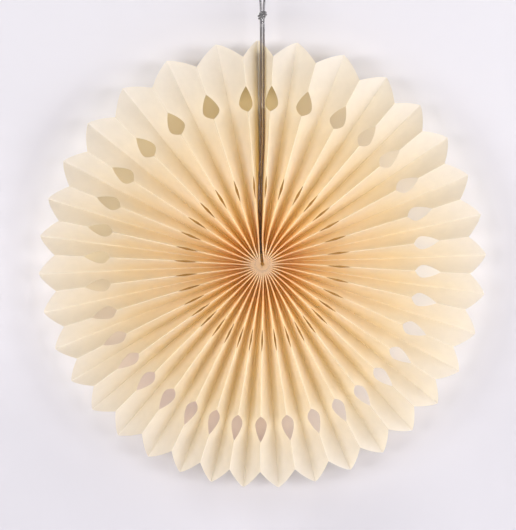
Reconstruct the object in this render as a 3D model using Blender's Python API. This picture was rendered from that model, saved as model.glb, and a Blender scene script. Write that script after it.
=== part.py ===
"""Paper fan rosette, hung on a cord.

One strip of paper is folded to and fro into parallel panels, opened into a full
circle and taped end to end. A cord threaded through a punched hole in every panel
gathers the inner ends into the hub. Both its ends come out where the strip's ends
meet, run up that valley side by side and are knotted into a hanging loop.

Metres, +Z up. The front of the fan faces -Y. The origin is the point inside the
loop that it hangs on.

A place on the paper is given by its radius from the hub's centre and by "across",
which runs from 0 on a ridge fold (towards the viewer) to 1 on a valley fold.
"""

import math

import bmesh
import bpy
from mathutils import Vector

FAN_RADIUS = 0.150  # hub's centre to a petal's tip, which lies on a valley fold
NOTCH_DEPTH = 0.0120  # how far the rim steps in on a ridge fold
PETAL_BULGE = 1.2  # 1 gives straight petal edges, more bends them outwards
LEAST_DEPTH = 0.0080  # of the widest pleat at the rim, which sets the panels' width
PAPER = 0.00015  # thickness
INNER_RADIUS = 0.0030  # of the hole that the gathered inner ends leave

# Degrees from each ridge to the next, clockwise from the seam as seen from the front.
# The fan hangs open at the top and bunched at the bottom.
RIDGE_GAPS = (
    (11.9, 13.0, 11.6, 10.8, 10.9, 10.8, 10.5)
    + (10.2, 10.0, 10.8, 10.2, 9.5, 9.5, 9.3)
    + (9.5, 9.5, 9.6, 8.5, 8.3, 8.5, 9.5)
    + (9.5, 9.2, 8.9, 9.5, 10.0, 9.9, 9.6)
    + (9.9, 10.8, 12.3, 13.0, 13.6, 13.1)
)
SEAM_GAP = 8.3  # degrees between the two ridges beside the seam
SEAM_TURN = -1.15  # degrees from straight up to the seam
SWIRL = -6.6  # degrees that the folds turn by at the hub's centre
SWIRL_FADE = 0.021  # the turn falls by a factor e over this radius
SEAM_EDGE_GAP = 0.0004  # between the strip's two ends, along the seam

# Cut-outs across each ridge fold. Widths are measured when the paper is flat.
SLIT_START = 0.0433  # from the hub's centre to its inner end
SLIT_LENGTH = 0.0153
SLIT_WIDEST = 0.0077  # from its inner end to its widest point
SLIT_WIDTH = 0.0054
TEARDROP_MARGIN = 0.0196  # from its outer end to the notch
TEARDROP_LENGTH = 0.0171
TEARDROP_WIDEST = 0.0062  # from its inner end to its widest point
TEARDROP_WIDTH = 0.0175
TEARDROP_BULGE = (2.2, 1.5)  # of its sides towards the hub and towards the rim

CORD = 0.0015  # diameter
GAP = 0.0003  # between pieces that touch
SLOT_CLEARANCE = 0.0006  # beside the cord, between the two ridges beside the seam
PUNCH_CLEARANCE = 0.00025  # round the cord in the punched holes
PUNCH_ACROSS = 0.30
RING_RADIUS = 0.0050  # of the cord's turn through the punched holes
CORD_SEAT = -0.0035  # depth of the strands in the valley near the hub
TANDEM_UNTIL = 0.024  # radius up to which one strand runs behind the other
ABREAST_FROM = 0.042  # radius from which they run side by side
PLUMB_FROM = 0.085  # radius from which the cord hangs straight below the hang point
KNOT_RISE = 0.013  # from the rim's radius to the knot's centre
KNOT_HEIGHT = 0.0085
KNOT_WIDTH = 0.0060
LOOP_RISE = 0.037  # from the knot's centre to the hang point
LOOP_WIDTH = 0.0070  # between the centrelines of its two sides

TAPE_WIDTH = 0.005
TAPE = 0.0001  # thickness
TAPE_START = 0.0375  # it follows the paper's rows from this radius
TAPE_MARGIN = 0.0075  # to this far from the rim

NOTCH_RADIUS = FAN_RADIUS - NOTCH_DEPTH
RIDGES = len(RIDGE_GAPS) + 1
PANELS = 2 * RIDGES
LAST_FOLD = PANELS  # folds 0 and LAST_FOLD are the strip's two ends
SLOT = CORD + 2 * SLOT_CLEARANCE  # least distance between the ridges beside the seam
PUNCH_RADIUS = CORD / 2 + PUNCH_CLEARANCE
STRAND_STEP = CORD + GAP  # between the two strands' centrelines
KNOT_CENTRE = FAN_RADIUS + KNOT_RISE
HUB_DROP = KNOT_CENTRE + LOOP_RISE  # hang point to hub's centre


# Base colour, roughness and metallic value of each material.
MATERIALS = {
    "cream_paper": ((0.90, 0.78, 0.58), 0.85, 0.0),
    "white_tape": ((0.88, 0.87, 0.83), 0.50, 0.0),
    "grey_cord": ((0.42, 0.40, 0.39), 0.40, 0.0),
}


def clear_scene():
    for obj in list(bpy.data.objects):
        bpy.data.objects.remove(obj, do_unlink=True)


def material(name):
    made = bpy.data.materials.get(name)
    if made:
        return made
    colour, roughness, metallic = MATERIALS[name]
    made = bpy.data.materials.new(name)
    made.use_nodes = True
    shader = made.node_tree.nodes["Principled BSDF"]
    shader.inputs["Base Color"].default_value = (*colour, 1)
    shader.inputs["Roughness"].default_value = roughness
    shader.inputs["Metallic"].default_value = metallic
    return made


def empty(name, height, parent=None):
    obj = bpy.data.objects.new(name, None)
    obj.empty_display_size = 0.01
    obj.location = (0, 0, height)
    obj.parent = parent
    bpy.context.scene.collection.objects.link(obj)
    return obj


def piece(name, data, material_name, parent):
    """An object whose data is in its parent's frame."""
    data.materials.append(material(material_name))
    obj = bpy.data.objects.new(name, data)
    obj.parent = parent
    bpy.context.scene.collection.objects.link(obj)
    return obj


def at(radius, angle, depth):
    """A point about the hub by its radius, its angle clockwise from up and its depth."""
    return Vector((radius * math.sin(angle), depth, radius * math.cos(angle)))


def smooth(low, high, value):
    """0 up to low, 1 from high on, and an S-shaped rise between."""
    share = min(1.0, max(0.0, (value - low) / (high - low)))
    return share * share * (3 - 2 * share)


def seam_angle(radius):
    return math.radians(SEAM_TURN + SWIRL * math.exp(-radius / SWIRL_FADE))


def fold_angles():
    """Each fold's angle from the seam far from the hub. Odd folds are ridges."""
    scale = 2 * math.pi / (sum(RIDGE_GAPS) + SEAM_GAP)
    ridges = [scale * SEAM_GAP / 2]
    for gap in RIDGE_GAPS:
        ridges.append(ridges[-1] + scale * gap)
    angles = [0.0]
    for ridge, after in zip(ridges, ridges[1:]):
        angles += [ridge, (ridge + after) / 2]
    return angles + [ridges[-1], 2 * math.pi]


FOLD_ANGLES = fold_angles()
WIDEST_ANGLE = max(b - a for a, b in zip(FOLD_ANGLES, FOLD_ANGLES[1:]))
PANEL_WIDTH = math.hypot(2 * FAN_RADIUS * math.sin(WIDEST_ANGLE / 2), LEAST_DEPTH)


def folds_at(radius):
    """The point where each fold crosses this radius, on the paper's middle surface."""
    first = FOLD_ANGLES[1]
    slot = math.asin(min(0.9, SLOT / 2 / radius))
    beside = max(first, slot)
    squeeze = (math.pi - beside) / (math.pi - first)
    edge = SEAM_EDGE_GAP / 2 / radius
    angles = [math.pi + squeeze * (angle - math.pi) for angle in FOLD_ANGLES]
    angles[0] = edge
    angles[-1] = 2 * math.pi - edge
    chords = [
        2 * radius * math.sin((after - angle) / 2)
        for angle, after in zip(angles, angles[1:])
    ]
    points = []
    for fold, angle in enumerate(angles):
        beside_it = chords[max(0, fold - 1) : fold + 1]
        chord = sum(beside_it) / len(beside_it)
        depth = math.sqrt(PANEL_WIDTH**2 - chord**2) / 2
        turned = angle + seam_angle(radius)
        points.append(at(radius, turned, -depth if fold % 2 else depth))
    return points


def between(start, end, share):
    return start + (end - start) * share


class CutOut:
    """A hole across a ridge fold, pointed at both ends."""

    def __init__(self, start, length, to_widest, width, bulge):
        self.start = start
        self.widest = start + to_widest
        self.end = start + length
        self.half_width = width / 2
        self.bulge_in, self.bulge_out = bulge

    def half_width_at(self, radius):
        """0 outside the hole."""
        if not self.start < radius < self.end:
            return 0.0
        if radius < self.widest:
            away = (self.widest - radius) / (self.widest - self.start)
            return self.half_width * (1 - away**self.bulge_in)
        away = (radius - self.widest) / (self.end - self.widest)
        return self.half_width * (1 - away**self.bulge_out)


SLIT = CutOut(SLIT_START, SLIT_LENGTH, SLIT_WIDEST, SLIT_WIDTH, (1.0, 1.0))
TEARDROP = CutOut(
    NOTCH_RADIUS - TEARDROP_MARGIN - TEARDROP_LENGTH,
    TEARDROP_LENGTH,
    TEARDROP_WIDEST,
    TEARDROP_WIDTH,
    TEARDROP_BULGE,
)


def ridge_side(radius):
    """Where the paper begins, going across from the ridge: 0 where the fold is whole."""
    if radius > NOTCH_RADIUS:
        rise = (radius - NOTCH_RADIUS) / NOTCH_DEPTH
        return 1 - max(0.0, 1 - rise) ** (1 / PETAL_BULGE)
    cut = max(SLIT.half_width_at(radius), TEARDROP.half_width_at(radius))
    return cut / PANEL_WIDTH


def paper_rows():
    """(radius, across values up to the punched hole, across values past it) of each row."""
    half = PUNCH_RADIUS * math.sin(math.pi / 3) / PANEL_WIDTH
    middle = PUNCH_ACROSS
    rows = [
        (INNER_RADIUS, [0.0, 1.0], None),
        (RING_RADIUS - PUNCH_RADIUS, [0.0, middle], [middle, 1.0]),
        (RING_RADIUS - PUNCH_RADIUS / 2, [0.0, middle - half], [middle + half, 1.0]),
        (RING_RADIUS + PUNCH_RADIUS / 2, [0.0, middle - half], [middle + half, 1.0]),
        (RING_RADIUS + PUNCH_RADIUS, [0.0, middle], [middle, 1.0]),
    ]
    slot_end = SLOT / 2 / math.sin(FOLD_ANGLES[1])
    plain = [
        2 * (RING_RADIUS + PUNCH_RADIUS),
        slot_end,
        between(slot_end, SLIT.start, 1 / 2),
        SLIT.start,
        SLIT.widest,
        SLIT.end,
        between(SLIT.end, TEARDROP.start, 1 / 2),
        TEARDROP.start,
        between(TEARDROP.start, TEARDROP.widest, 1 / 3),
        TEARDROP.widest,
        between(TEARDROP.widest, TEARDROP.end, 1 / 2),
        TEARDROP.end,
        NOTCH_RADIUS,
        between(NOTCH_RADIUS, FAN_RADIUS, 1 / 3),
        between(NOTCH_RADIUS, FAN_RADIUS, 2 / 3),
    ]
    rows += [(radius, [ridge_side(radius), 1.0], None) for radius in sorted(plain)]
    return rows + [(FAN_RADIUS, [1.0], None)]


class Sheet:
    """The folded strip as two skins, PAPER apart, with walls along every edge."""

    def __init__(self):
        self.mesh = bmesh.new()
        self.corners = {}
        self.rows = paper_rows()
        self.folds = [folds_at(radius) for radius, _, _ in self.rows]

    def ends(self, panel):
        """(ridge, valley) fold of a panel."""
        return (panel, panel + 1) if panel % 2 else (panel + 1, panel)

    def along(self, row, panel):
        """Unit vector across the panel, from its ridge to its valley."""
        ridge, valley = self.ends(panel)
        return (self.folds[row][valley] - self.folds[row][ridge]).normalized()

    def out(self, row, panel):
        """Unit normal of the panel's front skin."""
        ridge, valley = self.ends(panel)
        outward = self.folds[row][valley] + self.folds[row][ridge]
        outward.y = 0
        normal = self.along(row, panel).cross(outward).normalized()
        return -normal if normal.y > 0 else normal

    def corner(self, key, place):
        if key not in self.corners:
            self.corners[key] = self.mesh.verts.new(place)
        return self.corners[key]

    def outer(self, row, fold, panel):
        """Corner on a fold's outer side, which is flat between its two panels."""
        side = self.out(row, panel) * (PAPER / 2)
        place = self.folds[row][fold] + (side if fold % 2 else -side)
        return self.corner(("outer", row, fold, panel), place)

    def inner(self, row, fold):
        """Corner on a fold's inner side, where the skins of its two panels meet."""
        sign = 1 if fold % 2 else -1
        before = self.along(row, fold - 1) * sign
        after = self.along(row, fold) * sign
        half_angle = before.angle(after) / 2
        reach = PAPER / 2 / math.sin(half_angle)
        place = self.folds[row][fold] + (before + after).normalized() * reach
        return self.corner(("inner", row, fold), place)

    def skin(self, row, panel, across, front):
        ridge, valley = self.ends(panel)
        if across == 0:
            if front:
                return self.outer(row, ridge, panel)
            return self.inner(row, ridge)
        if across == 1 and valley not in (0, LAST_FOLD):
            if front:
                return self.inner(row, valley)
            return self.outer(row, valley, panel)
        folds = self.folds[row]
        place = between(folds[ridge], folds[valley], across)
        side = self.out(row, panel) * (PAPER / 2)
        key = ("skin", row, panel, across, front)
        return self.corner(key, place + (side if front else -side))

    def face(self, *corners):
        self.mesh.faces.new(corners)

    def wall(self, panel, start, end):
        """Closes an edge between the skins. start and end are (row, across)."""
        corners = [self.skin(start[0], panel, start[1], front) for front in (True, False)]
        corners += [self.skin(end[0], panel, end[1], front) for front in (False, True)]
        self.face(corners[0], corners[1], corners[2])
        self.face(corners[0], corners[2], corners[3])

    def zip_rows(self, panel, row, low, high):
        """Fills both skins between across values low on this row and high on the next."""
        for front in (True, False):
            below = [self.skin(row, panel, across, front) for across in low]
            above = [self.skin(row + 1, panel, across, front) for across in high]
            i = j = 0
            while i < len(low) - 1 or j < len(high) - 1:
                climb = i == len(low) - 1 or (
                    j < len(high) - 1 and high[j + 1] < low[i + 1]
                )
                if climb:
                    self.face(below[i], above[j], above[j + 1])
                    j += 1
                else:
                    self.face(below[i], above[j], below[i + 1])
                    i += 1

    def panel_between(self, panel, row):
        """One panel from this row to the next."""
        _, low_near, low_far = self.rows[row]
        _, high_near, high_far = self.rows[row + 1]
        if low_far and high_far:
            self.zip_rows(panel, row, low_near, high_near)
            self.zip_rows(panel, row, low_far, high_far)
            self.wall(panel, (row, low_near[-1]), (row + 1, high_near[-1]))
            self.wall(panel, (row, low_far[0]), (row + 1, high_far[0]))
        else:
            low = low_near + (low_far[1:] if low_far else [])
            high = high_near + (high_far[1:] if high_far else [])
            self.zip_rows(panel, row, low, high)
        if low_near[0] or high_near[0]:
            self.wall(panel, (row, low_near[0]), (row + 1, high_near[0]))
        if self.ends(panel)[1] in (0, LAST_FOLD):
            self.wall(panel, (row, 1.0), (row + 1, 1.0))

    def fold_cap(self, fold, row):
        """The flat outer side of a fold from this row to the next."""
        a = self.outer(row, fold, fold - 1)
        b = self.outer(row, fold, fold)
        c = self.outer(row + 1, fold, fold)
        d = self.outer(row + 1, fold, fold - 1)
        self.face(a, b, c)
        self.face(a, c, d)

    def fold_end(self, fold, row):
        """Closes a fold where it is cut through."""
        self.face(
            self.outer(row, fold, fold - 1),
            self.outer(row, fold, fold),
            self.inner(row, fold),
        )

    def build(self, parent):
        last = len(self.rows) - 1
        whole = [near[0] == 0 for _, near, _ in self.rows]
        for row in range(last):
            for panel in range(PANELS):
                self.panel_between(panel, row)
            for fold in range(1, LAST_FOLD):
                if fold % 2 == 0 or (whole[row] and whole[row + 1]):
                    self.fold_cap(fold, row)
                elif whole[row] != whole[row + 1]:
                    self.fold_end(fold, row if whole[row] else row + 1)
        for panel in range(PANELS):
            self.wall(panel, (0, 0.0), (0, 1.0))
        for fold in range(1, LAST_FOLD):
            self.fold_end(fold, 0)
            if fold % 2 == 0:
                self.fold_end(fold, last)
        bmesh.ops.recalc_face_normals(self.mesh, faces=self.mesh.faces[:])
        return piece("paper_fan", finished("paper_fan", self.mesh), "cream_paper", parent)


def finished(name, mesh):
    data = bpy.data.meshes.new(name)
    mesh.to_mesh(data)
    mesh.free()
    return data


def loft(name, sections):
    """A closed mesh through sections that all have the same number of corners."""
    mesh = bmesh.new()
    rings = [[mesh.verts.new(place) for place in section] for section in sections]
    for ring, after in zip(rings, rings[1:]):
        for i in range(len(ring)):
            j = (i + 1) % len(ring)
            mesh.faces.new((ring[i], ring[j], after[j]))
            mesh.faces.new((ring[i], after[j], after[i]))
    mesh.faces.new(rings[0])
    mesh.faces.new(rings[-1])
    bmesh.ops.triangulate(mesh, faces=[f for f in mesh.faces if len(f.verts) > 3])
    bmesh.ops.recalc_face_normals(mesh, faces=mesh.faces[:])
    return finished(name, mesh)


def seam_tape(parent):
    """A strip of tape folded round the back of the seam, over both ends of the paper."""
    stand_off = PAPER / 2 + GAP + TAPE / 2
    sections = []
    for radius, _, _ in paper_rows():
        if not TAPE_START < radius < FAN_RADIUS - TAPE_MARGIN:
            continue
        folds = folds_at(radius)
        outline = {-1: [], 1: []}
        for end, ridge in ((0, 1), (LAST_FOLD, LAST_FOLD - 1)):
            along = (folds[ridge] - folds[end]).normalized()
            outward = Vector((folds[end].x, 0, folds[end].z))
            back = along.cross(outward).normalized()
            back = back if back.y > 0 else -back
            for skin in (-1, 1):
                lift = back * (stand_off + skin * TAPE / 2)
                bend = folds[end] - along * (stand_off + skin * TAPE / 2) + lift
                tip = folds[end] + along * (TAPE_WIDTH / 2) + lift
                outline[skin].append([tip, bend] if end == 0 else [bend, tip])
        inside = outline[-1][0] + outline[-1][1]
        outside = outline[1][0] + outline[1][1]
        sections.append(inside + outside[::-1])
    return piece("seam_tape", loft("seam_tape", sections), "white_tape", parent)


def tube(name, places, parent):
    """A length of cord through these places."""
    curve = bpy.data.curves.new(name, "CURVE")
    curve.dimensions = "3D"
    curve.bevel_depth = CORD / 2
    curve.bevel_resolution = 2
    curve.use_fill_caps = True
    spline = curve.splines.new("POLY")
    spline.points.add(len(places) - 1)
    for point, place in zip(spline.points, places):
        point.co = (*place, 1)
    return piece(name, curve, "grey_cord", parent)


def cord_place(radius, side):
    """Centre of a strand at this radius. side is -1 for the left strand, 1 for the right."""
    share = smooth(ABREAST_FROM, PLUMB_FROM, radius)
    sideways = radius * math.sin(seam_angle(radius)) * (1 - share)
    depth = CORD_SEAT * min(1.0, (HUB_DROP - radius) / (HUB_DROP - ABREAST_FROM))
    turn = math.pi / 2 * (1 - smooth(TANDEM_UNTIL, ABREAST_FROM, radius))
    step = side * STRAND_STEP / 2
    along = Vector((step * math.cos(turn), -step * math.sin(turn), 0))
    return Vector((sideways, depth, radius)) + along


def cord_strand(name, side, parent):
    start = RING_RADIUS + CORD + GAP
    stop = KNOT_CENTRE - KNOT_HEIGHT / 2 - GAP
    steps = math.ceil((stop - start) / (3 * CORD))
    radii = [between(start, stop, i / steps) for i in range(steps + 1)]
    return tube(name, [cord_place(radius, side) for radius in radii], parent)


def cord_ring(parent):
    """The cord's turn through the punched holes, its two ends inside the slot."""
    folds = folds_at(RING_RADIUS)
    depth = between(folds[1].y, folds[2].y, PUNCH_ACROSS)
    seam = seam_angle(RING_RADIUS)
    start = (CORD / 4) / RING_RADIUS
    steps = 40
    places = []
    for i in range(steps + 1):
        angle = between(start, 2 * math.pi - start, i / steps) + seam
        places.append(at(RING_RADIUS, angle, depth))
    return tube("cord_ring", places, parent)


def cord_knot(parent):
    """A rounded body the size of the pulled-tight overhand knot, cut flat at its ends."""
    centre = cord_place(KNOT_CENTRE, 0)
    steepest = math.radians(72)  # latitude at which the ends are cut
    levels = 8
    corners = 12
    sections = []
    for level in range(levels + 1):
        latitude = between(-steepest, steepest, level / levels)
        width = KNOT_WIDTH / 2 * math.cos(latitude)
        rise = KNOT_HEIGHT / 2 * math.sin(latitude) / math.sin(steepest)
        ring = []
        for i in range(corners):
            angle = 2 * math.pi * i / corners
            ring.append(
                centre + Vector((width * math.cos(angle), width * math.sin(angle), rise))
            )
        sections.append(ring)
    data = loft("cord_knot", sections)
    data.shade_smooth()
    return piece("cord_knot", data, "grey_cord", parent)


def cord_loop(parent):
    """From the knot up over the hang point and back down to the knot."""
    start = KNOT_CENTRE + KNOT_HEIGHT / 2 + GAP - HUB_DROP
    half = LOOP_WIDTH / 2
    bend_from = CORD / 2 - half
    places = []
    for i in range(5):
        height = between(start, bend_from, i / 5)
        spread = between(STRAND_STEP / 2, half, smooth(0, 1, i / 5))
        places.append(Vector((-spread, 0, height)))
    for i in range(17):
        angle = math.pi * i / 16
        places.append(
            Vector((-half * math.cos(angle), 0, bend_from + half * math.sin(angle)))
        )
    places += [Vector((-place.x, 0, place.z)) for place in reversed(places[:5])]
    return tube("cord_loop", places, parent)


def main():
    clear_scene()
    hang_point = empty("hang_point", 0)
    hub = empty("hub", -HUB_DROP, hang_point)
    Sheet().build(hub)
    seam_tape(hub)
    cord_ring(hub)
    cord_strand("cord_left", -1, hub)
    cord_strand("cord_right", 1, hub)
    cord_knot(hub)
    cord_loop(hang_point)


main()
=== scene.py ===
"""Looks of the paper fan rosette: a finely folded paper sheet, its cord, light and camera.

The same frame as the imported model: metres, +Z up, front towards -Y, the origin inside
the hanging loop. The fold, cut-out and cord sizes repeat those of the part's source.
"""

import math
import random

import bmesh
import bpy
import numpy as np
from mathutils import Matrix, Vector

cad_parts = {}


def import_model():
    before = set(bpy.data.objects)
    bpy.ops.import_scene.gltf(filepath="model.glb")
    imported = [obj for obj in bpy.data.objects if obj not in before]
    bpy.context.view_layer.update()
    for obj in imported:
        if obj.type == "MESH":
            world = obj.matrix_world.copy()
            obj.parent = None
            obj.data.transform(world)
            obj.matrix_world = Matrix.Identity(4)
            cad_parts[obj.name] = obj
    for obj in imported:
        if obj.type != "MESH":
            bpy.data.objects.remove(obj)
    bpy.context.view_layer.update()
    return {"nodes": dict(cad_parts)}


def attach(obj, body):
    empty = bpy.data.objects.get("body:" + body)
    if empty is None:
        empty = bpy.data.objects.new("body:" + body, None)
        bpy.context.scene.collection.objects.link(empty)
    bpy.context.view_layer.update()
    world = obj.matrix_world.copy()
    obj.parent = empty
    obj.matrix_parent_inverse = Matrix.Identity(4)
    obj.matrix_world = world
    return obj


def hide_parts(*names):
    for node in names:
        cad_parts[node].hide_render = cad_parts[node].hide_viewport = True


FAN_RADIUS = 0.150  # hub's centre to a petal's tip, which lies on a valley fold
NOTCH_DEPTH = 0.0120  # how far the rim steps in on a ridge fold
PETAL_BULGE = 1.2  # 1 gives straight petal edges, more bends them outwards
LEAST_DEPTH = 0.0080  # of the widest pleat at the rim, which sets the panels' width
HUB_DROP = 0.200  # hang point to hub's centre

# Degrees from each ridge to the next, clockwise from the seam as seen from the front.
# The fan hangs open at the top and bunched at the bottom.
RIDGE_GAPS = (
    (11.9, 13.0, 11.6, 10.8, 10.9, 10.8, 10.5)
    + (10.2, 10.0, 10.8, 10.2, 9.5, 9.5, 9.3)
    + (9.5, 9.5, 9.6, 8.5, 8.3, 8.5, 9.5)
    + (9.5, 9.2, 8.9, 9.5, 10.0, 9.9, 9.6)
    + (9.9, 10.8, 12.3, 13.0, 13.6, 13.1)
)
SEAM_GAP = 8.3  # degrees between the two ridges beside the seam
SEAM_TURN = -1.15  # degrees from straight up to the seam
SWIRL = -6.6  # degrees that the folds turn by at the hub's centre
SWIRL_FADE = 0.021  # the turn falls by a factor e over this radius
SEAM_EDGE_GAP = 0.0004  # between the strip's two ends, along the seam
SLOT = 0.0027  # least distance between the ridges beside the seam
SLOT_STEEPEST = 0.9  # sine of the angle from the seam to those ridges, at most

# Cut-outs across each ridge fold. Widths are measured when the paper is flat.
SLIT_START = 0.0433  # from the hub's centre to its inner end
SLIT_LENGTH = 0.0153
SLIT_WIDEST = 0.0077  # from its inner end to its widest point
SLIT_WIDTH = 0.0054
SLIT_BULGE = (1.0, 1.0)  # of its sides towards the hub and towards the rim
TEARDROP_MARGIN = 0.0196  # from its outer end to the notch
TEARDROP_LENGTH = 0.0171
TEARDROP_WIDEST = 0.0062  # from its inner end to its widest point
TEARDROP_WIDTH = 0.0175
TEARDROP_BULGE = (2.2, 1.5)

# How the paper bends at its folds.
HUB_ROUNDING = 0.00045  # radius of a ridge's bend, up to ROUNDING_FROM
RIDGE_ROUNDING = 0.00025  # and from ROUNDING_UNTIL outwards
ROUNDING_FROM = 0.007
ROUNDING_UNTIL = 0.020
VALLEY_ROUNDING = 0.0001
FOLD_CLEARANCE = 0.00005  # between neighbouring folds where they crowd at the hub
CROWDED_INNER_RADIUS = 0.0012  # of the centre hole, where the inner edges crowd together

# Near the hub the ridges stray to either side.
SEED = 7
UNEVEN = math.radians(1.3)  # most that a ridge strays
UNEVEN_FROM = 0.007  # it sets in from here to UNEVEN_UNTIL
UNEVEN_UNTIL = 0.013
UNEVEN_FADE = 0.030  # it falls by a factor e over this radius

# Faces across a panel: round its ridge, straight on and round its valley.
RIDGE_STEPS = 4
FLAT_STEPS = 6
VALLEY_STEPS = 3
# Near the hub the sheet's rows of faces grow wider from these radii on.
WIDER_ROWS_FROM = 0.0075
WIDEST_ROWS_FROM = 0.016
SAME_POINT = 0.000002  # points closer than this become one

CORD = 0.0015  # diameter
GAP = 0.0003  # between pieces that touch
RING_RADIUS = 0.0050  # of the cord's turn through the punched holes
CORD_SEAT = -0.0035  # depth of the strands in the valley near the hub
TANDEM_UNTIL = 0.024  # radius up to which one strand runs behind the other
ABREAST_FROM = 0.042  # radius from which they run side by side
PLUMB_FROM = 0.085  # radius from which the cord hangs straight below the hang point
KNOT_CENTRE = 0.163  # radius from the hub's centre to the knot's
KNOT_HEIGHT = 0.0085
LOOP_WIDTH = 0.0070  # between the centrelines of its two sides
STRAND_STEPS = 10
LOOP_SIDE_STEPS = 4
LOOP_TOP_STEPS = 8

KNOT_STRAND = 0.00135  # the cord's diameter where the knot squeezes it
KNOT_LIFT = 0.0010  # of the tied knot's middle above KNOT_CENTRE
KNOT_OPEN = (0.0022, 0.0013, 0.00045)  # width, depth and height factors when it is loose
KNOT_END = 2.35  # how far the loose knot's curve is followed to either side
KNOT_FADE_FROM = 1.75  # from here to KNOT_END it straightens out
KNOT_POINTS = 70  # along each strand
KNOT_PULLS = 600
KNOT_PULL = 0.00003  # that the ends move apart by at a time
KNOT_STRETCH = 1.04  # that the cord takes before the pulling waits
KNOT_SETTLES = 6  # rounds of settling after each pull
KNOT_FIRMNESS = 0.6  # share of a stretch or an overlap that one round takes away
KNOT_STIFFNESS = 0.12  # share of a bend that one round takes away

CAMERA_DISTANCE = 1.5
CAMERA_SHIFT = (-0.0029, -0.0007)  # of the picture's middle from the hub: right and up
PICTURE_HEIGHT = 0.3533  # of what the camera shows at the hub's distance

# Place, width and height in metres, and watts of each lamp. All face the hub.
LAMPS = {
    "left_light": ((-1.1, -1.3, -0.20), (1.2, 0.3), 20),
    "right_light": ((1.1, -1.3, -0.20), (1.2, 0.3), 18),
    "grazing_light": ((1.6, -0.45, 0.25), (0.8, 0.8), 13),
    "front_light": ((0.0, -1.8, -0.20), (0.5, 0.5), 3),
    "back_light": ((0.3, 1.4, 0.4), (1.4, 1.4), 4),
}
WORLD_COLOUR = (0.93, 0.93, 0.96)
WORLD_LIGHT = 0.10

WALL_DEPTH = 0.028  # behind the middle of the fan
WALL_MIDDLE = -0.1  # height of its centre
WALL_SIZE = (3, 1.8)
# Painted shade: the wall is lighter at the top and darker towards the bottom.
WALL_TOP = (0.64, 0.62, 0.66)
WALL_BOTTOM = (0.57, 0.55, 0.59)
WALL_SPAN = (-0.40, 0.0)  # heights between which the wall's shade changes
# Soft round patches of painted light and painted shadow, where the wall is lighter or darker:
# x, z, radius and share.
WALL_LIGHT_AND_SHADOW_PATCHES = (
    (-0.175, -0.20, 0.12, 0.147),
    (0.0, -0.045, 0.07, -0.026),
    (0.06, -0.365, 0.09, -0.092),
    (0.165, -0.29, 0.10, -0.048),
    (0.0, -0.352, 0.035, -0.12),
    (-0.034, -0.348, 0.035, -0.10),
    (0.034, -0.348, 0.035, -0.08),
)
# Behind the fan the wall is painted with the fan's shade and the warm light that the paper
# lets through. Radii from the hub, where its colour changes, and the colours there.
WALL_BEHIND = (
    (0.070, (0.60, 0.43, 0.22)),
    (0.090, (0.57, 0.46, 0.27)),
    (0.123, (0.57, 0.46, 0.27)),
)
WALL_BOUNCE = (0.88, 0.76, 0.58)  # of the light that the wall there gives back to the fan
WALL_CLEAR = 0.137  # radius from which nothing of that is left
# Light that reaches the wall behind the fan from the sides: share of a turn, clockwise
# from up, and the light's colour. It sets in between the first two radii of WALL_BEHIND.
SIDE_LIGHT = (
    (0.00, (0.00, 0.00, 0.00)),
    (0.13, (0.29, 0.30, 0.32)),
    (0.25, (0.34, 0.42, 0.54)),
    (0.38, (0.34, 0.39, 0.50)),
    (0.50, (0.07, 0.07, 0.17)),
    (0.63, (0.27, 0.25, 0.32)),
    (0.75, (0.25, 0.25, 0.23)),
    (0.90, (0.21, 0.19, 0.15)),
    (1.00, (0.00, 0.00, 0.00)),
)
# Light that reaches the wall beside the rim: share of a turn, clockwise from up, and the
# light's strength there. It fades between two radii.
RIM_LIGHT = (
    (0.00, 0.05),
    (0.06, 0.07),
    (0.14, 0.20),
    (0.24, 0.19),
    (0.33, 0.17),
    (0.42, 0.02),
    (0.57, 0.00),
    (0.66, 0.20),
    (0.72, 0.14),
    (0.78, 0.18),
    (0.84, 0.25),
    (0.90, 0.19),
    (0.95, 0.05),
    (1.00, 0.05),
)
RIM_LIGHT_FADE = (0.150, 0.176)

FLOOR_HEIGHT = -1.0
FLOOR_SIZE = 6
FLOOR_COLOUR = (0.80, 0.79, 0.80)

NOTCH_RADIUS = FAN_RADIUS - NOTCH_DEPTH
RIDGES = len(RIDGE_GAPS) + 1
PANELS = 2 * RIDGES
LAST_FOLD = PANELS  # folds 0 and LAST_FOLD are the strip's two ends
STRAND_STEP = CORD + GAP  # between the two strands' centrelines


def between(start, end, share):
    return start + (end - start) * share


def smooth(low, high, value):
    """0 up to low, 1 from high on, and an S-shaped rise between."""
    share = min(1.0, max(0.0, (value - low) / (high - low)))
    return share * share * (3 - 2 * share)


def link(obj):
    bpy.context.scene.collection.objects.link(obj)
    return obj


def mesh_object(name, mesh, shade_smooth=True):
    data = bpy.data.meshes.new(name)
    mesh.to_mesh(data)
    mesh.free()
    if shade_smooth:
        data.shade_smooth()
    return link(bpy.data.objects.new(name, data))


# Materials


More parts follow.
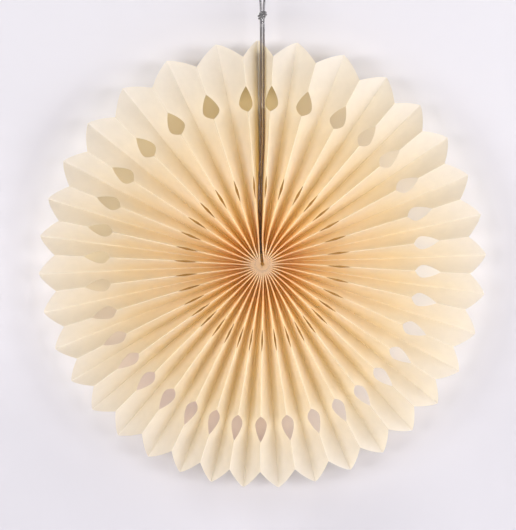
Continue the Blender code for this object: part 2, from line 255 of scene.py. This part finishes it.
class Nodes:
    """Short way to add and join a material's nodes."""

    def __init__(self, name):
        self.material = bpy.data.materials.new(name)
        self.material.use_nodes = True
        self.tree = self.material.node_tree
        self.tree.nodes.clear()
        self.output = self.tree.nodes.new("ShaderNodeOutputMaterial")

    def add(self, kind, inputs=None, **settings):
        node = self.tree.nodes.new("ShaderNode" + kind)
        for key, value in settings.items():
            setattr(node, key, value)
        for key, value in (inputs or {}).items():
            if isinstance(value, bpy.types.NodeSocket):
                self.tree.links.new(value, node.inputs[key])
            else:
                node.inputs[key].default_value = value
        return node

    def number(self, operation, *values):
        """What the operation makes of numbers."""
        return self.add("Math", dict(enumerate(values)), operation=operation).outputs[0]

    def vector(self, operation, *values):
        """What the operation makes of vectors: a number if it is a length or a distance."""
        node = self.add("VectorMath", dict(enumerate(values)), operation=operation)
        return node.outputs["Value" if operation in ("LENGTH", "DISTANCE") else "Vector"]

    def change(self, value, span, levels=(0.0, 1.0), soft=False):
        """A level that goes from the first to the second as the value crosses the span."""
        inputs = {
            "Value": value,
            "From Min": span[0],
            "From Max": span[1],
            "To Min": levels[0],
            "To Max": levels[1],
        }
        course = "SMOOTHSTEP" if soft else "LINEAR"
        return self.add("MapRange", inputs, interpolation_type=course).outputs[0]

    def ramp(self, factor, *stops):
        node = self.add("ValToRGB", {"Fac": factor})
        elements = node.color_ramp.elements
        while len(elements) < len(stops):
            elements.new(0.5)
        for element, (place, colour) in zip(elements, stops):
            element.position = place
            element.color = (*colour, 1)
        return node.outputs["Color"]

    def noise(self, place, scale, detail):
        node = self.add("TexNoise", {"Vector": place, "Scale": scale, "Detail": detail})
        return node.outputs["Fac"]

    def bump(self, height, strength, distance):
        inputs = {"Height": height, "Strength": strength, "Distance": distance}
        return self.add("Bump", inputs).outputs["Normal"]

    def mixed_colour(self, share, colour, other):
        """The colour with this share of the other."""
        inputs = {0: share, 6: colour, 7: other}
        return self.add("Mix", inputs, data_type="RGBA").outputs[2]

    def mixed_shader(self, share, shader, other):
        """The shader with this share of the other."""
        inputs = {0: share, 1: shader.outputs[0], 2: other.outputs[0]}
        return self.add("MixShader", inputs)

    def added_shader(self, shader, other):
        return self.add("AddShader", {0: shader.outputs[0], 1: other.outputs[0]})

    def finish(self, shader):
        self.tree.links.new(shader.outputs[0], self.output.inputs["Surface"])
        return self.material


# The paper's colour where light falls on it, from the hub to the rim, with painted shade:
# warmer and deeper just out from the hub, where light bounces between the crowded folds,
# and darker towards the rim. Share of the fan's radius and colour there. The light that
# shows through makes it cream and peach.
PAPER_COLOURS_WITH_PAINTED_SHADE = (
    (0.04, (0.98, 0.88, 0.74)),
    (0.10, (0.98, 0.82, 0.60)),
    (0.24, (0.98, 0.91, 0.82)),
    (0.40, (0.96, 0.92, 0.88)),
    (0.60, (0.905, 0.85, 0.75)),
    (0.85, (0.865, 0.838, 0.82)),
    (1.00, (0.86, 0.84, 0.865)),
)
THROUGH_TINT = (1.0, 0.85, 0.44)  # of the light that shows through, over the paper's own
# Share of the light that the paper lets through instead of back, near the hub and near
# the rim, and the shares of the fan's radius that it changes between.
SHOW_THROUGH = (0.66, 0.47)
SHOW_THROUGH_SPAN = (0.15, 0.65)
PULP_SCALE = 160.0  # faint clouds to the metre
PULP_SHADE = 0.97  # of the darkest of them
FIBRE_SCALE = 2600.0  # fibres to the metre


def paper_material():
    nodes = Nodes("paper_look")
    place = nodes.add("TexCoord").outputs["Object"]
    from_hub = nodes.vector("MULTIPLY_ADD", place, (1, 0, 1), (0, 0, HUB_DROP))
    share = nodes.number("DIVIDE", nodes.vector("LENGTH", from_hub), FAN_RADIUS)
    # The paper's cream with painted warm shade near the hub, by radius.
    tone_with_painted_shade = nodes.ramp(share, *PAPER_COLOURS_WITH_PAINTED_SHADE)
    pulp = nodes.noise(place, PULP_SCALE, detail=4.0)
    shade = nodes.change(pulp, span=(0.35, 0.65), levels=(PULP_SHADE, 1.0))
    colour = nodes.vector("MULTIPLY", tone_with_painted_shade, shade)
    fibres = nodes.noise(place, FIBRE_SCALE, detail=3.0)
    face = nodes.add(
        "BsdfPrincipled",
        {
            "Base Color": colour,
            "Roughness": 0.85,
            "Specular IOR Level": 0.2,
            "Normal": nodes.bump(fibres, strength=0.25, distance=0.0001),
        },
    )
    tinted = nodes.vector("MULTIPLY", colour, THROUGH_TINT)
    through = nodes.add("BsdfTranslucent", {"Color": tinted})
    showing = nodes.change(share, SHOW_THROUGH_SPAN, SHOW_THROUGH)
    return nodes.finish(nodes.mixed_shader(showing, face, through))


# The see-through cord's colour by height, with painted shade and a painted highlight: it
# darkens and takes on the paper's brown towards the hub, where it lies in the shaded
# valley, and is palest where it is knotted, as a painted highlight: height and colour there.
CORD_COLOURS_SHADE_AND_HIGHLIGHT = (
    (-0.200, (0.15, 0.08, 0.04)),
    (-0.185, (0.19, 0.11, 0.06)),
    (-0.130, (0.25, 0.16, 0.10)),
    (-0.110, (0.30, 0.20, 0.13)),
    (-0.090, (0.35, 0.27, 0.22)),
    (-0.060, (0.33, 0.28, 0.26)),
    (-0.043, (0.30, 0.29, 0.29)),
    (-0.040, (0.55, 0.54, 0.55)),
    (-0.032, (0.55, 0.54, 0.55)),
    (-0.029, (0.34, 0.33, 0.34)),
)
THREAD_SCALE = 3000.0  # threads to the metre
THREAD_SHADE = 0.8  # of the darkest of them


def cord_material():
    nodes = Nodes("cord_look")
    place = nodes.add("TexCoord").outputs["Object"]
    height = nodes.add("SeparateXYZ", {"Vector": place}).outputs["Z"]
    share = nodes.number("MULTIPLY_ADD", height, 1 / HUB_DROP, 1.0)
    # Painted shade towards the hub and a painted highlight on the knot.
    painted_cord_shade_and_highlight = nodes.ramp(share, *((1 + stop / HUB_DROP, colour) for stop, colour in CORD_COLOURS_SHADE_AND_HIGHLIGHT))
    threads = nodes.noise(place, THREAD_SCALE, detail=2.0)
    shade = nodes.change(threads, span=(0.3, 0.7), levels=(THREAD_SHADE, 1.0))
    shader = nodes.add(
        "BsdfPrincipled",
        {
            "Base Color": nodes.vector("MULTIPLY", painted_cord_shade_and_highlight, shade),
            "Roughness": 0.12,
            "Transmission Weight": 0.85,
            "Normal": nodes.bump(threads, strength=0.3, distance=0.0001),
        },
    )
    return nodes.finish(shader)


TAPE_COLOURS = ((0.3, (0.84, 0.82, 0.76)), (0.7, (0.90, 0.88, 0.83)))  # along its ripple
TAPE_SCALE = 300.0  # ripples to the metre


def tape_material():
    nodes = Nodes("tape_look")
    place = nodes.add("TexCoord").outputs["Object"]
    ripple = nodes.noise(place, TAPE_SCALE, detail=2.0)
    shader = nodes.add(
        "BsdfPrincipled",
        {
            "Base Color": nodes.ramp(ripple, *TAPE_COLOURS),
            "Roughness": 0.45,
            "Normal": nodes.bump(ripple, strength=0.2, distance=0.0002),
        },
    )
    return nodes.finish(shader)


# Paper


def seam_angle(radius):
    return math.radians(SEAM_TURN + SWIRL * math.exp(-radius / SWIRL_FADE))


def fold_angles():
    """Each fold's angle from the seam far from the hub. Odd folds are ridges."""
    scale = 2 * math.pi / (sum(RIDGE_GAPS) + SEAM_GAP)
    ridges = [scale * SEAM_GAP / 2]
    for gap in RIDGE_GAPS:
        ridges.append(ridges[-1] + scale * gap)
    angles = [0.0]
    for ridge, after in zip(ridges, ridges[1:]):
        angles += [ridge, (ridge + after) / 2]
    return angles + [ridges[-1], 2 * math.pi]


FOLD_ANGLES = fold_angles()
WIDEST_ANGLE = max(b - a for a, b in zip(FOLD_ANGLES, FOLD_ANGLES[1:]))
PANEL_WIDTH = math.hypot(2 * FAN_RADIUS * math.sin(WIDEST_ANGLE / 2), LEAST_DEPTH)


class CutOut:
    """A hole across a ridge fold, pointed at both ends."""

    def __init__(self, start, length, to_widest, width, bulge):
        self.start = start
        self.widest = start + to_widest
        self.end = start + length
        self.half_width = width / 2
        self.bulge_in, self.bulge_out = bulge

    def half_width_at(self, radius):
        """0 outside the hole."""
        if not self.start < radius < self.end:
            return 0.0
        if radius < self.widest:
            away = (self.widest - radius) / (self.widest - self.start)
            return self.half_width * (1 - away**self.bulge_in)
        away = (radius - self.widest) / (self.end - self.widest)
        return self.half_width * (1 - away**self.bulge_out)


SLIT = CutOut(SLIT_START, SLIT_LENGTH, SLIT_WIDEST, SLIT_WIDTH, SLIT_BULGE)
TEARDROP = CutOut(
    NOTCH_RADIUS - TEARDROP_MARGIN - TEARDROP_LENGTH,
    TEARDROP_LENGTH,
    TEARDROP_WIDEST,
    TEARDROP_WIDTH,
    TEARDROP_BULGE,
)


def ridge_side(radius):
    """Where the paper begins, going across from the ridge: 0 where the fold is whole."""
    if radius > NOTCH_RADIUS:
        rise = (radius - NOTCH_RADIUS) / NOTCH_DEPTH
        return 1 - max(0.0, 1 - rise) ** (1 / PETAL_BULGE)
    cut = max(SLIT.half_width_at(radius), TEARDROP.half_width_at(radius))
    return cut / PANEL_WIDTH


def stray_turns():
    """How far each fold strays, as a share of UNEVEN. A valley stays between its ridges."""
    dice = random.Random(SEED)
    ridges = [dice.uniform(-1, 1) for _ in range(RIDGES)]
    ridges[0] = ridges[-1] = 0.0
    turns = [0.0]
    for ridge, after in zip(ridges, ridges[1:]):
        turns += [ridge, (ridge + after) / 2]
    return turns + [0.0, 0.0]


STRAY_TURNS = stray_turns()


def folds_at(radius):
    """(angle, depth) of each fold at this radius."""
    first = FOLD_ANGLES[1]
    slot = math.asin(min(SLOT_STEEPEST, SLOT / 2 / radius))
    beside = max(first, slot)
    squeeze = (math.pi - beside) / (math.pi - first)
    edge = SEAM_EDGE_GAP / 2 / radius
    stray = UNEVEN * smooth(UNEVEN_FROM, UNEVEN_UNTIL, radius)
    stray *= math.exp(-radius / UNEVEN_FADE)
    angles = [
        math.pi + squeeze * (angle - math.pi) + stray * turn
        for angle, turn in zip(FOLD_ANGLES, STRAY_TURNS)
    ]
    angles[0] = edge
    angles[-1] = 2 * math.pi - edge
    chords = [
        2 * radius * math.sin((after - angle) / 2)
        for angle, after in zip(angles, angles[1:])
    ]
    folds = []
    for fold, angle in enumerate(angles):
        beside_it = chords[max(0, fold - 1) : fold + 1]
        chord = sum(beside_it) / len(beside_it)
        depth = math.sqrt(PANEL_WIDTH**2 - chord**2) / 2
        folds.append((angle + seam_angle(radius), -depth if fold % 2 else depth))
    return folds


def cross_section(width, top, bottom, ridge_bend, valley_bend):
    """Points (sideways, depth) from a ridge's crest at (0, top) to a valley's at
    (width, bottom): round the ridge, straight across the panel and round the valley."""
    height = bottom - top - ridge_bend - valley_bend
    apart = math.hypot(width, height)
    lean = math.atan2(width, height) - math.asin(
        min(1.0, (ridge_bend + valley_bend) / apart)
    )
    out = (math.cos(lean), -math.sin(lean))
    points = []
    for i in range(RIDGE_STEPS):
        angle = between(-math.pi / 2, -lean, i / RIDGE_STEPS)
        points.append(
            (ridge_bend * math.cos(angle), top + ridge_bend + ridge_bend * math.sin(angle))
        )
    start = (ridge_bend * out[0], top + ridge_bend + ridge_bend * out[1])
    end = (width - valley_bend * out[0], bottom - valley_bend - valley_bend * out[1])
    for i in range(FLAT_STEPS + 1):
        share = i / FLAT_STEPS
        points.append((between(start[0], end[0], share), between(start[1], end[1], share)))
    for i in range(1, VALLEY_STEPS + 1):
        angle = between(math.pi - lean, math.pi / 2, i / VALLEY_STEPS)
        points.append(
            (
                width + valley_bend * math.cos(angle),
                bottom - valley_bend + valley_bend * math.sin(angle),
            )
        )
    return points


def trimmed(points, share):
    """The same number of points along the line, starting this share of the way along."""
    if share == 0:
        return points
    lengths = [0.0]
    for a, b in zip(points, points[1:]):
        lengths.append(lengths[-1] + math.dist(a, b))
    total = lengths[-1]
    made = []
    for length in lengths:
        wanted = total * share + length * (1 - share)
        i = 1
        while i < len(lengths) - 1 and lengths[i] < wanted:
            i += 1
        step = lengths[i] - lengths[i - 1]
        part = (wanted - lengths[i - 1]) / step if step else 0.0
        made.append(
            (
                between(points[i - 1][0], points[i][0], part),
                between(points[i - 1][1], points[i][1], part),
            )
        )
    return made


def panel_line(radius, folds, panel):
    """Points (angle, depth) across a panel at this radius, from its ridge to its valley."""
    ridge, valley = (panel, panel + 1) if panel % 2 else (panel + 1, panel)
    (ridge_angle, top), (valley_angle, bottom) = folds[ridge], folds[valley]
    turn = valley_angle - ridge_angle
    width = radius * abs(turn)
    room = max(width - FOLD_CLEARANCE, width / 2)
    spread = smooth(ROUNDING_FROM, ROUNDING_UNTIL, radius)
    ridge_bend = min(between(HUB_ROUNDING, RIDGE_ROUNDING, spread), room)
    valley_bend = 0.0 if valley in (0, LAST_FOLD) else min(VALLEY_ROUNDING, room)
    line = cross_section(width, top, bottom, ridge_bend, valley_bend)
    return [
        (ridge_angle + math.copysign(sideways / radius, turn), depth)
        for sideways, depth in trimmed(line, ridge_side(radius))
    ]


def row_radii():
    """Radii of the sheet's rows, closest where an outline or a fold curves."""
    # Where each stretch starts, and its number of rows.
    stretches = [
        (CROWDED_INNER_RADIUS, 8),
        (WIDER_ROWS_FROM, 6),
        (WIDEST_ROWS_FROM, 6),
        (SLIT.start, 5),
        (SLIT.widest, 5),
        (SLIT.end, 6),
        (TEARDROP.start, 6),
        (TEARDROP.widest, 8),
        (TEARDROP.end, 4),
        (NOTCH_RADIUS, 10),
    ]
    ends = [start for start, _ in stretches[1:]] + [FAN_RADIUS]
    radii = []
    for (start, steps), end in zip(stretches, ends):
        radii += [between(start, end, i / steps) for i in range(steps)]
    return radii + [FAN_RADIUS]


def paper_sheet():
    """The folded sheet, with its folds rounded as paper bends."""
    mesh = bmesh.new()
    rows = []
    for radius in row_radii():
        folds = folds_at(radius)
        row = []
        for panel in range(PANELS):
            places = [
                (radius * math.sin(angle), depth, radius * math.cos(angle) - HUB_DROP)
                for angle, depth in panel_line(radius, folds, panel)
            ]
            row.append([mesh.verts.new(place) for place in places])
        rows.append(row)
    for low, high in zip(rows, rows[1:]):
        for a, b in zip(low, high):
            for i in range(len(a) - 1):
                mesh.faces.new((a[i], a[i + 1], b[i + 1], b[i]))
    bmesh.ops.remove_doubles(mesh, verts=mesh.verts[:], dist=SAME_POINT)
    bmesh.ops.recalc_face_normals(mesh, faces=mesh.faces[:])
    return mesh_object("folded_paper", mesh)


# Cord


def cord_place(radius, side):
    """Centre of a strand at this radius. side is -1 for the left strand, 1 for the right."""
    share = smooth(ABREAST_FROM, PLUMB_FROM, radius)
    sideways = radius * math.sin(seam_angle(radius)) * (1 - share)
    depth = CORD_SEAT * min(1.0, (HUB_DROP - radius) / (HUB_DROP - ABREAST_FROM))
    turn = math.pi / 2 * (1 - smooth(TANDEM_UNTIL, ABREAST_FROM, radius))
    step = side * STRAND_STEP / 2
    along = Vector((step * math.cos(turn), -step * math.sin(turn), 0))
    return Vector((sideways, depth, radius - HUB_DROP)) + along


def loop_places():
    """From the knot up over the hang point and back down to the knot."""
    start = KNOT_CENTRE + KNOT_HEIGHT / 2 + GAP - HUB_DROP
    half = LOOP_WIDTH / 2
    bend_from = CORD / 2 - half
    side = []
    for i in range(LOOP_SIDE_STEPS):
        share = i / LOOP_SIDE_STEPS
        spread = between(STRAND_STEP / 2, half, smooth(0, 1, share))
        side.append(Vector((-spread, 0, between(start, bend_from, share))))
    top = []
    for i in range(LOOP_TOP_STEPS + 1):
        angle = math.pi * i / LOOP_TOP_STEPS
        top.append(Vector((-half * math.cos(angle), 0, bend_from + half * math.sin(angle))))
    return side + top + [Vector((-place.x, 0, place.z)) for place in reversed(side)]


def cord_route():
    """Up the left strand, through the knot, round the loop and down the right strand."""
    start = RING_RADIUS + CORD + GAP
    stop = KNOT_CENTRE - KNOT_HEIGHT / 2 - GAP
    radii = [between(start, stop, i / STRAND_STEPS) for i in range(STRAND_STEPS + 1)]
    up = [cord_place(radius, -1) for radius in radii]
    down = [cord_place(radius, 1) for radius in reversed(radii)]
    return up + loop_places() + down


def cord_piece(name, routes, diameter):
    """A round cord that follows each route on a smooth curve."""
    curve = bpy.data.curves.new(name, "CURVE")
    curve.dimensions = "3D"
    curve.resolution_u = 5
    curve.bevel_depth = diameter / 2
    curve.bevel_resolution = 4
    curve.use_fill_caps = True
    for places in routes:
        spline = curve.splines.new("BEZIER")
        spline.bezier_points.add(len(places) - 1)
        for point, place in zip(spline.bezier_points, places):
            point.co = place
            point.handle_left_type = point.handle_right_type = "AUTO"
    return link(bpy.data.objects.new(name, curve))


def loose_knot():
    """Both strands, side by side along a wide open overhand knot: a row of places each."""
    t = np.linspace(-KNOT_END, KNOT_END, KNOT_POINTS)
    fade = np.array([1 - smooth(KNOT_FADE_FROM, KNOT_END, abs(value)) for value in t])
    # A polynomial curve that is knotted once, its ends drawn in to one line.
    shape = ((t**3 - 3 * t) * fade, (t**4 - 4 * t**2 + 1.5) * fade, t**5 - 10 * t)
    line = np.stack(shape, axis=1) * KNOT_OPEN
    along = np.gradient(line, axis=0)
    along /= np.linalg.norm(along, axis=1)[:, None]
    beside = [np.array((1.0, 0.0, 0.0))]
    for direction in along[1:]:
        turned = beside[-1] - direction * (beside[-1] @ direction)
        beside.append(turned / np.linalg.norm(turned))
    beside = np.array(beside)
    across = np.cross(along, beside)
    twist = math.atan2(across[-1][0], beside[-1][0]) * np.linspace(0, 1, KNOT_POINTS)
    apart = beside * np.cos(twist)[:, None] + across * np.sin(twist)[:, None]
    return np.stack((line - apart * STRAND_STEP / 2, line + apart * STRAND_STEP / 2))


def crowding_pairs(count, link_length):
    """Rows of each two places that may press on each other: not close on one strand."""
    first, second = np.triu_indices(count, 1)
    other = first // KNOT_POINTS != second // KNOT_POINTS
    far = other | ((second - first) * link_length > 2 * KNOT_STRAND)
    return first[far], second[far]


def shifted(places, fixed, moves):
    """The places after each of the moves on its own row, averaged, but not the fixed ones."""
    total = np.zeros_like(places)
    shares = np.zeros(len(places))
    for rows, move in moves:
        np.add.at(total, rows, move)
        np.add.at(shares, rows, 1)
    total[fixed] = 0
    return places + total / np.maximum(shares, 1)[:, None]


def pull_tight(strands):
    """The strands after their ends are drawn apart until the knot holds them."""
    places = strands.reshape(-1, 3)
    row = np.arange(len(places))
    is_last = (row + 1) % KNOT_POINTS == 0
    ends = row[is_last | (row % KNOT_POINTS == 0)]
    start = row[~is_last]
    link_length = np.linalg.norm(places[start + 1] - places[start], axis=1).mean()
    first, second = crowding_pairs(len(places), link_length)
    reach = places[:, 2].max()
    for _ in range(KNOT_PULLS):
        step = places[start + 1] - places[start]
        if np.linalg.norm(step, axis=1).max() < KNOT_STRETCH * link_length:
            reach += KNOT_PULL
        for end, side, height in zip(ends, (-1, -1, 1, 1), (-reach, reach, -reach, reach)):
            places[end] = (side * STRAND_STEP / 2, 0, height)
        for _ in range(KNOT_SETTLES):
            step = places[start + 1] - places[start]
            length = np.linalg.norm(step, axis=1)[:, None]
            draw = step * (1 - link_length / length) * KNOT_FIRMNESS
            places = shifted(places, ends, ((start, draw), (start + 1, -draw)))
            bend = (places[:-2] + places[2:]) / 2 - places[1:-1]
            places = shifted(places, ends, ((row[1:-1], bend * KNOT_STIFFNESS),))
            gap = places[second] - places[first]
            distance = np.linalg.norm(gap, axis=1)
            close = distance < KNOT_STRAND
            push = gap[close] * (KNOT_STRAND / distance[close] - 1)[:, None] * KNOT_FIRMNESS
            places = shifted(places, ends, ((first[close], -push), (second[close], push)))
    return places.reshape(strands.shape)


def tied_knot():
    """The two strands of the pulled-tight overhand knot, where the part's source has it."""
    strands = pull_tight(loose_knot())
    bulk = strands[np.hypot(strands[..., 0], strands[..., 1]) > KNOT_STRAND]
    middle = (bulk.min(axis=0) + bulk.max(axis=0)) / 2
    place = cord_place(KNOT_CENTRE + KNOT_LIFT, 0)
    routes = []
    for strand in strands:
        inside = strand[np.abs(strand[:, 2] - middle[2]) < KNOT_HEIGHT / 2]
        routes.append([Vector(point - middle) + place for point in inside])
    return cord_piece("knot", routes, KNOT_STRAND)


# Surroundings


def camera():
    data = bpy.data.cameras.new("camera")
    data.sensor_width = 36.0
    data.lens = data.sensor_width * CAMERA_DISTANCE / PICTURE_HEIGHT
    obj = link(bpy.data.objects.new("camera", data))
    obj.location = (CAMERA_SHIFT[0], -CAMERA_DISTANCE, -HUB_DROP + CAMERA_SHIFT[1])
    obj.rotation_euler = (math.pi / 2, 0, 0)
    bpy.context.scene.camera = obj


def lamp(name, place, size, watts):
    data = bpy.data.lights.new(name, "AREA")
    data.shape = "RECTANGLE"
    data.size, data.size_y = size
    data.energy = watts
    obj = link(bpy.data.objects.new(name, data))
    obj.location = place
    aim = Vector((0, 0, -HUB_DROP)) - Vector(place)
    obj.rotation_euler = aim.to_track_quat("-Z", "Y").to_euler()


def wall_shade(nodes, place):
    """The bare wall's colour with painted shade, darker towards the bottom, and its soft
    patches of painted light and shadow.
    """
    height = nodes.add("SeparateXYZ", {"Vector": place}).outputs["Z"]
    shade = nodes.ramp(nodes.change(height, WALL_SPAN), (0.0, WALL_BOTTOM), (1.0, WALL_TOP))
    for x, z, reach, change in WALL_LIGHT_AND_SHADOW_PATCHES:
        away = nodes.vector("DISTANCE", place, (x, WALL_DEPTH, z))
        patch = nodes.change(away, (0.0, reach), (1 + change, 1.0), soft=True)
        shade = nodes.vector("MULTIPLY", shade, patch)
    return shade


def wall_painted_light_behind(nodes, radius, seen):
    """The wall's colour behind the fan: one that is seen, with painted shade and painted warm
    light, and one that lights the fan.
    """
    share = nodes.number("DIVIDE", radius, FAN_RADIUS)
    stops = ((stop / FAN_RADIUS, colour) for stop, colour in WALL_BEHIND)
    return nodes.mixed_colour(seen, (*WALL_BOUNCE, 1), nodes.ramp(share, *stops))


def part_of_turn(nodes, from_hub):
    """Share of a turn, clockwise from up."""
    parts = nodes.add("SeparateXYZ", {"Vector": from_hub})
    turn = nodes.number("ARCTAN2", parts.outputs["X"], parts.outputs["Z"])
    return nodes.number("FRACT", nodes.number("MULTIPLY_ADD", turn, 1 / (2 * math.pi), 1.0))


def wall_glow(nodes, colour, *shares):
    """Light on the wall, of this colour times each of the shares."""
    strength = shares[0]
    for share in shares[1:]:
        strength = nodes.number("MULTIPLY", strength, share)
    return nodes.add("Emission", {"Color": colour, "Strength": strength})


def wall_material():
    """Pale wall that is see-through from behind and lets light through to the fan's back."""
    nodes = Nodes("wall_look")
    place = nodes.add("TexCoord").outputs["Object"]
    from_hub = nodes.vector("ADD", place, (0, 0, HUB_DROP))
    radius = nodes.vector("LENGTH", from_hub)
    turn = part_of_turn(nodes, from_hub)
    rays = nodes.add("LightPath").outputs
    seen = rays["Is Camera Ray"]
    inner, middle, outer = (stop for stop, _ in WALL_BEHIND)
    behind = nodes.change(radius, (outer, WALL_CLEAR), (1.0, 0.0), soft=True)
    beside = nodes.number("SUBTRACT", 1.0, behind)

    # Painted shade and warm light behind the fan, as the camera sees it.
    painted_light_behind = wall_painted_light_behind(nodes, radius, seen)
    colour = nodes.mixed_colour(behind, wall_shade(nodes, place), painted_light_behind)
    paint = nodes.add("BsdfDiffuse", {"Color": colour})
    setting_in = nodes.change(radius, (inner, middle))
    side = wall_glow(nodes, nodes.ramp(turn, *SIDE_LIGHT), setting_in, behind, seen)
    fading = nodes.change(radius, RIM_LIGHT_FADE, (1.0, 0.0), soft=True)
    grey = nodes.ramp(turn, *((stop, (light,) * 3) for stop, light in RIM_LIGHT))
    rim = wall_glow(nodes, grey, fading, beside, seen)
    lit = nodes.added_shader(nodes.added_shader(paint, side), rim)

    back = nodes.add("NewGeometry").outputs["Backfacing"]
    either = nodes.number("MAXIMUM", back, rays["Is Shadow Ray"])
    return nodes.finish(nodes.mixed_shader(either, lit, nodes.add("BsdfTransparent")))


def floor_material():
    """Pale floor that is see-through from below."""
    nodes = Nodes("floor_look")
    paint = nodes.add("BsdfDiffuse", {"Color": (*FLOOR_COLOUR, 1)})
    below = nodes.add("NewGeometry").outputs["Backfacing"]
    return nodes.finish(nodes.mixed_shader(below, paint, nodes.add("BsdfTransparent")))


def plane(name, centre, across, up, material):
    mesh = bmesh.new()
    corners = [
        Vector(centre) + Vector(across) * i + Vector(up) * j
        for i, j in ((-0.5, -0.5), (0.5, -0.5), (0.5, 0.5), (-0.5, 0.5))
    ]
    mesh.faces.new([mesh.verts.new(corner) for corner in corners])
    obj = mesh_object(name, mesh, shade_smooth=False)
    obj.data.materials.append(material)


def surroundings():
    width, height = WALL_SIZE
    wall_centre = (0, WALL_DEPTH, WALL_MIDDLE)
    plane("wall", wall_centre, (width, 0, 0), (0, 0, height), wall_material())
    floor_centre = (0, 0, FLOOR_HEIGHT)
    plane("floor", floor_centre, (FLOOR_SIZE, 0, 0), (0, FLOOR_SIZE, 0), floor_material())
    for name, (place, size, watts) in LAMPS.items():
        lamp(name, place, size, watts)
    world = bpy.data.worlds.new("world")
    bpy.context.scene.world = world
    world.use_nodes = True
    background = world.node_tree.nodes["Background"]
    background.inputs["Color"].default_value = (*WORLD_COLOUR, 1)
    background.inputs["Strength"].default_value = WORLD_LIGHT


# Dressing the part


def dress_cord(nodes):
    """The strands and the loop as one smooth cord, the tied knot, and the ring's look."""
    route = cord_route()
    cord = cord_piece("cord", [route], CORD)
    cord.data.materials.append(cord_material())
    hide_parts("cord_left", "cord_right", "cord_loop")
    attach(cord, "root")
    knot = tied_knot()
    knot.data.materials.append(cord.data.materials[0])
    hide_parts("cord_knot")
    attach(knot, "root")
    nodes["cord_ring"].material_slots[0].material = cord.data.materials[0]


def dress_paper():
    paper = paper_sheet()
    paper.data.materials.append(paper_material())
    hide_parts("paper_fan")
    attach(paper, "root")


def main():
    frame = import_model()
    bpy.context.scene.view_settings.view_transform = "Standard"
    camera()
    dress_cord(frame["nodes"])
    frame["nodes"]["seam_tape"].material_slots[0].material = tape_material()
    dress_paper()
    surroundings()


main()
